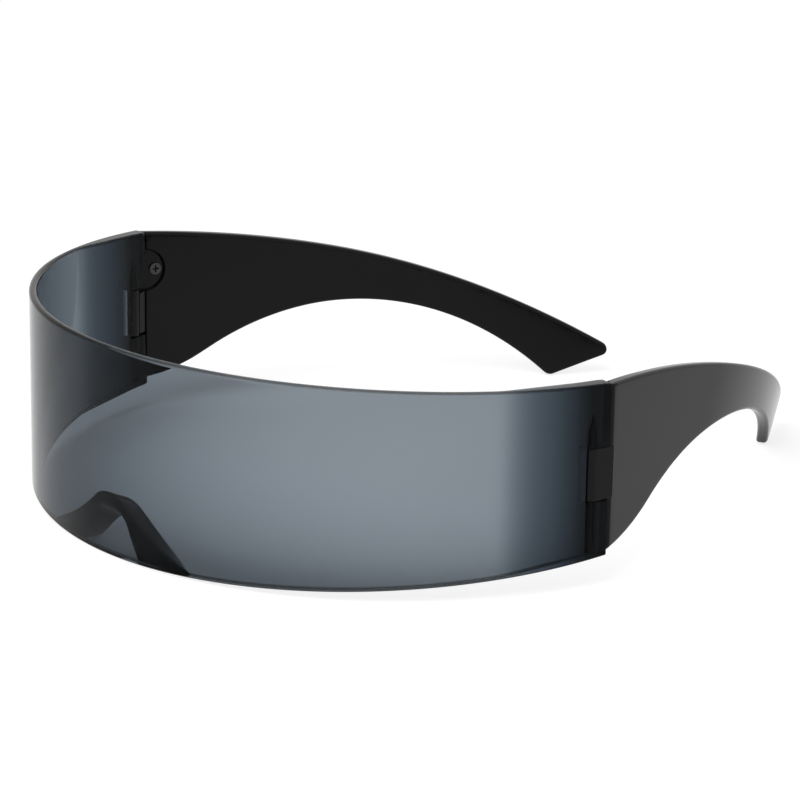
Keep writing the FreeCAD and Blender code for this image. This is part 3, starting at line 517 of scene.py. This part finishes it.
def on_band(u, z, inwards):
    """The side view's point carried across on to the bent band, this far in from its outside."""
    start, across = heading(SIDE_TURN) * u, sideways(SIDE_TURN)
    off = CORNER.dot(sideways(LEAN)) - inwards
    point = start + across * ((off - start.dot(sideways(LEAN))) / across.dot(sideways(LEAN)))
    lead_end = CORNER + heading(LEAN) * (LEAD + z * BEND_SLANT)
    if (point - lead_end).dot(heading(LEAN)) > 0:
        from_axis = start - lead_end + sideways(LEAN) * BEND
        sidestep = from_axis.dot(across)
        reach = math.sqrt(sidestep ** 2 - from_axis.length_squared + (BEND - inwards) ** 2)
        point = start + across * (reach - sidestep)
    return point + Vector((0, 0, z))


def temple_plate():
    bm = bmesh.new()
    depth = temple_cells(bm)
    made = bmesh.ops.extrude_face_region(bm, geom=bm.faces[:])
    outer = {item for item in made["geom"] if isinstance(item, bmesh.types.BMVert)}
    shift = INNER_CORNER.dot(heading(SIDE_TURN)) - FRONT
    for vert in bm.verts:
        u, z = vert.co.xy
        sunk = EDGE_ROUND - math.sqrt(EDGE_ROUND ** 2 - (EDGE_ROUND - vert[depth]) ** 2)
        if vert not in outer:
            u += shift * max(0, 1 - (u - FRONT) / FRONT_FADE)
            sunk = WALL - sunk
        vert.co = on_band(u, z, sunk)
    bmesh.ops.recalc_face_normals(bm, faces=bm.faces)
    return bm


# %% [markdown]
# The tongue is a block that ends in a round knuckle on the hinge axis. Its root sinks into the plate, and
# it is a little narrower there than the plate, so that no two faces lie in one plane.

# %% The tongue of a temple
ROOT_SINK, ROOT_INSET, TONGUE_ROUND = 0.9, 0.2, 0.2


def temple_tongue():
    bm = bmesh.new()
    inner = KNUCKLE - FRONT_WIDTH
    first = bm.verts.new((inner, math.sqrt(KNUCKLE ** 2 - inner ** 2), TONGUE_LOW))
    last = draw_arc(bm, first, Vector((0, 0)), math.tau, steps=24)
    root_edges = (KNUCKLE - ROOT_INSET, inner + ROOT_INSET)
    root = [bm.verts.new((x, FRONT_BACK + ROOT_SINK, TONGUE_LOW)) for x in root_edges]
    bm.edges.new((last, root[0]))
    bm.edges.new(root)
    bm.edges.new((root[1], first))
    base = bmesh.ops.contextual_create(bm, geom=bm.edges[:])["faces"]
    made = bmesh.ops.extrude_face_region(bm, geom=base)
    top = [item for item in made["geom"] if isinstance(item, bmesh.types.BMVert)]
    bmesh.ops.translate(bm, vec=(0, 0, TONGUE_HIGH - TONGUE_LOW), verts=top)
    bmesh.ops.rotate(bm, verts=bm.verts, matrix=Matrix.Rotation(LENS_TURN - math.pi / 2, 3, "Z"))
    bmesh.ops.recalc_face_normals(bm, faces=bm.faces)
    round_edges(bm, sharp_edges(bm), TONGUE_ROUND, segments=2)
    return bm


# %% [markdown]
# The tongue is joined to the plate, and the shallow hollow round the screw is taken out of its inside.
# A Boolean modifier does both: it is applied at once, and the tool object is then removed.


# %% Boolean helper
def combine(bm, tool, operation):
    objects = []
    for source in (bm, tool):
        mesh = bpy.data.meshes.new("work")
        source.to_mesh(mesh)
        source.free()
        objects.append(bpy.data.objects.new("work", mesh))
        bpy.context.scene.collection.objects.link(objects[-1])
    step = objects[0].modifiers.new("Boolean", "BOOLEAN")
    step.operation = operation
    step.object = objects[1]
    done = objects[0].evaluated_get(bpy.context.evaluated_depsgraph_get())
    result = bmesh.new()
    result.from_mesh(done.to_mesh())
    done.to_mesh_clear()
    for item in objects:
        bpy.data.meshes.remove(item.data)
    return result


# %% Both temples
SCREW_HEIGHT = 30.9
HOLLOW_DEPTH, HOLLOW_FLOOR, HOLLOW_MOUTH = 0.7, 4.35, 5.2


def screw_hollow():
    bm = bmesh.new()
    bmesh.ops.create_cone(bm, cap_ends=True, segments=64, radius1=HOLLOW_MOUTH, radius2=HOLLOW_FLOOR,
                          depth=2 * HOLLOW_DEPTH)
    bmesh.ops.rotate(bm, verts=bm.verts, matrix=Matrix.Rotation(math.pi / 2, 3, "Y"))
    bmesh.ops.rotate(bm, verts=bm.verts, matrix=Matrix.Rotation(LEAN, 3, "Z"))
    bmesh.ops.translate(bm, vec=INNER_CORNER + Vector((0, 0, SCREW_HEIGHT)), verts=bm.verts)
    return bm


def make_temple(name, side, body, node):
    bm = combine(temple_plate(), temple_tongue(), "UNION")
    bm = combine(bm, screw_hollow(), "DIFFERENCE")
    bmesh.ops.translate(bm, vec=HINGE, verts=bm.verts)
    bmesh.ops.scale(bm, vec=(side, 1, 1), verts=bm.verts)
    finish_piece(bm, name, TEMPLE_FINISH, body, node)


make_temple("temple_left", 1, "left_arm", "left_temple")
make_temple("temple_right", -1, "right_arm", "right_temple")

# %% [markdown]
# ## The nose saddle
# The saddle is a short vault. Its outline is a bell: a round crown whose sides flare out along the lens.
# Below it is a rounded arch for the nose. Both are drawn at the front of the lens and at the saddle's
# back, and a grid that runs from foot to foot and from front to back joins them. It could be cut from a
# block with Booleans, but the grid gives even faces all round.

# %% Sizes of the saddle
SADDLE_FOOT, SADDLE_BOND, SADDLE_DEPTH, SADDLE_ROUND = 0.3, 0.1, 6.0, 0.35
# A bell has half its width, its height, and the radius of its crown and of its flare: front, then back.
SADDLE_BELLS = ((32.0, 13.0, 6.0, 40.0), (19.2, 10.3, 9.0, 200.0))
# An arch has half its width, its height, and the radius of its crown: front, then back.
SADDLE_ARCHES = ((8.5, 11.2, 7.5), (8.0, 6.2, 4.5))
CROWN_SHARE = 0.4


def round_point(centre, radius, angle):
    return Vector((centre.x + radius * math.cos(angle), centre.y + radius * math.sin(angle)))


def half_bell(share, half, height, crown, flare):
    """A point from the top of the bell (share 0) to its foot (share 1): the crown, then the flare."""
    peak, foot = Vector((0, height - crown)), Vector((half, SADDLE_FOOT))
    reach, apart = crown + flare, (foot - peak).length
    swing = math.acos((flare ** 2 - apart ** 2 - reach ** 2) / (2 * reach * apart))
    leave = angle_of(foot, peak) - swing
    if share < CROWN_SHARE:
        return round_point(peak, crown, math.pi / 2 + (leave - math.pi / 2) * share / CROWN_SHARE)
    bow = round_point(peak, reach, leave)
    first, last = leave - math.pi, angle_of(bow, foot)
    return round_point(bow, flare, first + (last - first) * (share - CROWN_SHARE) / (1 - CROWN_SHARE))


def half_arch(share, half, height, crown):
    """A point from the top of the arch (share 0) to its foot (share 1): the crown, then a straight leg."""
    middle, foot = Vector((0, height - crown)), Vector((half, SADDLE_FOOT))
    leave = angle_of(middle, foot) + math.acos(crown / (foot - middle).length)
    angle = math.pi / 2 + (leave - math.pi / 2) * min(1, share / CROWN_SHARE)
    return round_point(middle, crown, angle).lerp(foot, max(0, (share - CROWN_SHARE) / (1 - CROWN_SHARE)))


# %% [markdown]
# The front of the grid starts at the lens's inside. Where that is depends on how far out a point lies, and
# that changes with the depth again, so a few rounds settle it. The rungs that join the arch to the bell are
# then divided, and those in front are laid on the lens's inside, because a straight rung would leave a gap.

# %% Grid over the vault
CELLS_ACROSS, CELLS_DEEP, RUNG_CUTS = 64, 6, 7
FIT_ROUNDS, FIT_SLACK = 30, 0.01


def saddle_point(across, depth, half_outline, sizes):
    ends = [half_outline(abs(across), *size) for size in sizes]
    place = ends[0].lerp(ends[1], depth)
    return Vector((math.copysign(place.x, across), -LENS_RADIUS + SADDLE_DEPTH * depth, place.y))


def make_saddle():
    bm = bmesh.new()
    bmesh.ops.create_grid(bm, x_segments=CELLS_ACROSS, y_segments=CELLS_DEEP, size=0.5)
    made = bmesh.ops.extrude_face_region(bm, geom=bm.faces[:])
    upper = {item for item in made["geom"] if isinstance(item, bmesh.types.BMVert)}
    inside = LENS_RADIUS - LENS_WALL - SADDLE_BOND
    for vert in bm.verts:
        outline = (half_bell, SADDLE_BELLS) if vert in upper else (half_arch, SADDLE_ARCHES)
        across, depth = vert.co.x * 2, vert.co.y + 0.5
        least = 0.0
        for _ in range(FIT_ROUNDS):
            x = saddle_point(across, least, *outline).x
            least = (LENS_RADIUS - math.sqrt(inside ** 2 - x ** 2)) / SADDLE_DEPTH
        vert.co = saddle_point(across, least + (1 - least) * depth, *outline)
    rungs = [edge for edge in bm.edges if (edge.verts[0] in upper) != (edge.verts[1] in upper)]
    in_front = {edge for edge in rungs if all(v.co.xy.length > inside - FIT_SLACK for v in edge.verts)}
    for chosen in (in_front, [edge for edge in rungs if edge not in in_front]):
        cut = bmesh.ops.subdivide_edges(bm, edges=list(chosen), cuts=RUNG_CUTS, use_grid_fill=True)
        if chosen is in_front:
            for vert in (item for item in cut["geom_inner"] if isinstance(item, bmesh.types.BMVert)):
                vert.co.y = -math.sqrt(inside ** 2 - vert.co.x ** 2)
    bmesh.ops.recalc_face_normals(bm, faces=bm.faces)
    round_edges(bm, sharp_edges(bm), SADDLE_ROUND, segments=3)
    bmesh.ops.translate(bm, vec=ARC_CENTRE, verts=bm.verts)
    finish_piece(bm, "nose_saddle", SADDLE_FINISH, "front", "nose_bridge")


make_saddle()

# %% [markdown]
# ## Studio
# The photograph is a product shot on white. The floor is a plain pale sheet that keeps a faint shadow, and
# far away it turns into the white of the background. Camera, glossy and transmission rays see a white of
# strength 1, so that the lens and the gloss show the white that the camera sees. The floor behind the lens
# keeps the deeper shadow that the photograph shows there.

# %% White floor
FLOOR_REACH, FLOOR_DROP = 4, 0.0002
FLOOR_FADE = 0.25, 0.6
# Each white is its albedo, which takes light and shadow, and the strength of its glow.
FLOOR_FOR_LIGHT, FLOOR_SEEN = (0.8, 0), (0.3, 0.79)
FLOOR_THROUGH_LENS, FLOOR_FAR = (1.0, 0.1), (0, 1.0)
SEEN_RAYS = ("Is Camera Ray", "Is Glossy Ray", "Is Transmission Ray")


def any_ray(nodes, links, *kinds):
    """1 for a ray of one of these kinds, and 0 for the others."""
    path = nodes.new("ShaderNodeLightPath")
    share = path.outputs[kinds[0]]
    for kind in kinds[1:]:
        share = math_node(nodes, links, "MAXIMUM", share, path.outputs[kind])
    return share


def glowing_white(nodes, links, albedo, strength):
    """A white that is partly lit by the lamps, and so keeps a shadow, and partly glows."""
    lit = nodes.new("ShaderNodeBsdfDiffuse")
    lit.inputs["Color"].default_value = (albedo, albedo, albedo, 1)
    glow = nodes.new("ShaderNodeEmission")
    glow.inputs["Strength"].default_value = strength
    both = nodes.new("ShaderNodeAddShader")
    links.new(lit.outputs[0], both.inputs[0])
    links.new(glow.outputs[0], both.inputs[1])
    return both.outputs[0]


def far_away(nodes, links):
    place = nodes.new("ShaderNodeTexCoord")
    away = nodes.new("ShaderNodeVectorMath")
    away.operation = "LENGTH"
    links.new(place.outputs["Object"], away.inputs[0])
    distant = smooth_step(nodes, links, away.outputs["Value"], *FLOOR_FADE)
    return math_node(nodes, links, "MULTIPLY", distant, any_ray(nodes, links, *SEEN_RAYS))


def white_floor():
    material = bpy.data.materials.new("white_floor")
    material.use_nodes = True
    nodes, links = material.node_tree.nodes, material.node_tree.links
    nodes.clear()
    shader = glowing_white(nodes, links, *FLOOR_FOR_LIGHT)
    branches = ((any_ray(nodes, links, "Is Camera Ray", "Is Glossy Ray"), FLOOR_SEEN),
                (any_ray(nodes, links, "Is Transmission Ray"), FLOOR_THROUGH_LENS),
                (far_away(nodes, links), FLOOR_FAR))
    for share, white in branches:
        mix = nodes.new("ShaderNodeMixShader")
        links.new(share, mix.inputs[0])
        links.new(shader, mix.inputs[1])
        links.new(glowing_white(nodes, links, *white), mix.inputs[2])
        shader = mix.outputs[0]
    links.new(shader, nodes.new("ShaderNodeOutputMaterial").inputs["Surface"])
    return material


floor_mesh = bmesh.new()
bmesh.ops.create_grid(floor_mesh, x_segments=1, y_segments=1, size=FLOOR_REACH)
bmesh.ops.translate(floor_mesh, vec=(0, 0, -FLOOR_DROP), verts=floor_mesh.verts)
floor_data = bpy.data.meshes.new("floor")
floor_mesh.to_mesh(floor_data)
floor_mesh.free()
floor_data.materials.append(white_floor())
floor = bpy.data.objects.new("floor", floor_data)
bpy.context.scene.collection.objects.link(floor)
print("floor in m:", [round(x, 2) for x in floor.dimensions])

# %% [markdown]
# The world gives an even fill from all sides, and one soft lamp hangs high in front. Both are at a plain
# level, at which a colour renders about as it is written.

# %% World and lamp
FILL_STRENGTH, WHITE_STRENGTH = 0.5, 1.0
LAMP_SIZE, LAMP_POWER, LAMP_PLACE = 0.6, 4.5, (0.1, -0.45, 0.65)
world = bpy.data.worlds.new("studio")
world.use_nodes = True
bpy.context.scene.world = world
world_nodes, world_links = world.node_tree.nodes, world.node_tree.links
world_mix = world_nodes.new("ShaderNodeMixShader")
world_links.new(any_ray(world_nodes, world_links, *SEEN_RAYS), world_mix.inputs[0])
fill, backdrop = world_nodes["Background"], world_nodes.new("ShaderNodeBackground")
for socket, source, strength in ((1, fill, FILL_STRENGTH), (2, backdrop, WHITE_STRENGTH)):
    source.inputs["Color"].default_value = (1, 1, 1, 1)
    source.inputs["Strength"].default_value = strength
    world_links.new(source.outputs[0], world_mix.inputs[socket])
world_links.new(world_mix.outputs[0], world_nodes["World Output"].inputs["Surface"])

lamp_data = bpy.data.lights.new("front", "AREA")
lamp_data.shape = "SQUARE"
lamp_data.size = LAMP_SIZE
lamp_data.energy = LAMP_POWER
lamp = bpy.data.objects.new("front", lamp_data)
lamp.location = LAMP_PLACE
lamp.rotation_euler = (-lamp.location).to_track_quat("-Z", "Y").to_euler()
bpy.context.scene.collection.objects.link(lamp)
print("lamp distance in m:", round(lamp.location.length, 2))

# %% [markdown]
# ## Camera
# The camera was solved from edges in the photograph: its direction, distance and focal length, a small
# roll, and the shift of a picture that was cropped off centre.

# %% Camera at the photograph's place
AZIMUTH, ELEVATION, ROLL = math.radians(48.998), math.radians(17.482), math.radians(0.712)
DISTANCE, TARGET = 0.68746, Vector((0, 0.060 - FRONT_TO_ORIGIN * MM, 0.016525))
FRAME_PX, FOCAL_PX, CENTRE_PX = 800, 3387.83, (340.33, 412.81)
back = Vector((math.sin(AZIMUTH) * math.cos(ELEVATION), -math.cos(AZIMUTH) * math.cos(ELEVATION),
               math.sin(ELEVATION)))
level = Vector((math.cos(AZIMUTH), math.sin(AZIMUTH), 0))
upright = back.cross(level)
right = level * math.cos(ROLL) + upright * math.sin(ROLL)
up = upright * math.cos(ROLL) - level * math.sin(ROLL)
camera_data = bpy.data.cameras.new("camera")
camera_data.sensor_width = 36
camera_data.lens = FOCAL_PX * camera_data.sensor_width / FRAME_PX
camera_data.shift_x = (FRAME_PX / 2 - CENTRE_PX[0]) / FRAME_PX
camera_data.shift_y = (CENTRE_PX[1] - FRAME_PX / 2) / FRAME_PX
camera = bpy.data.objects.new("camera", camera_data)
facing = Matrix((right, up, back)).transposed().to_4x4()
camera.matrix_world = Matrix.Translation(TARGET + back * DISTANCE) @ facing
bpy.context.scene.collection.objects.link(camera)
bpy.context.scene.camera = camera
bpy.context.scene.view_settings.view_transform = "Standard"
print("focal length in mm:", round(camera_data.lens, 1))
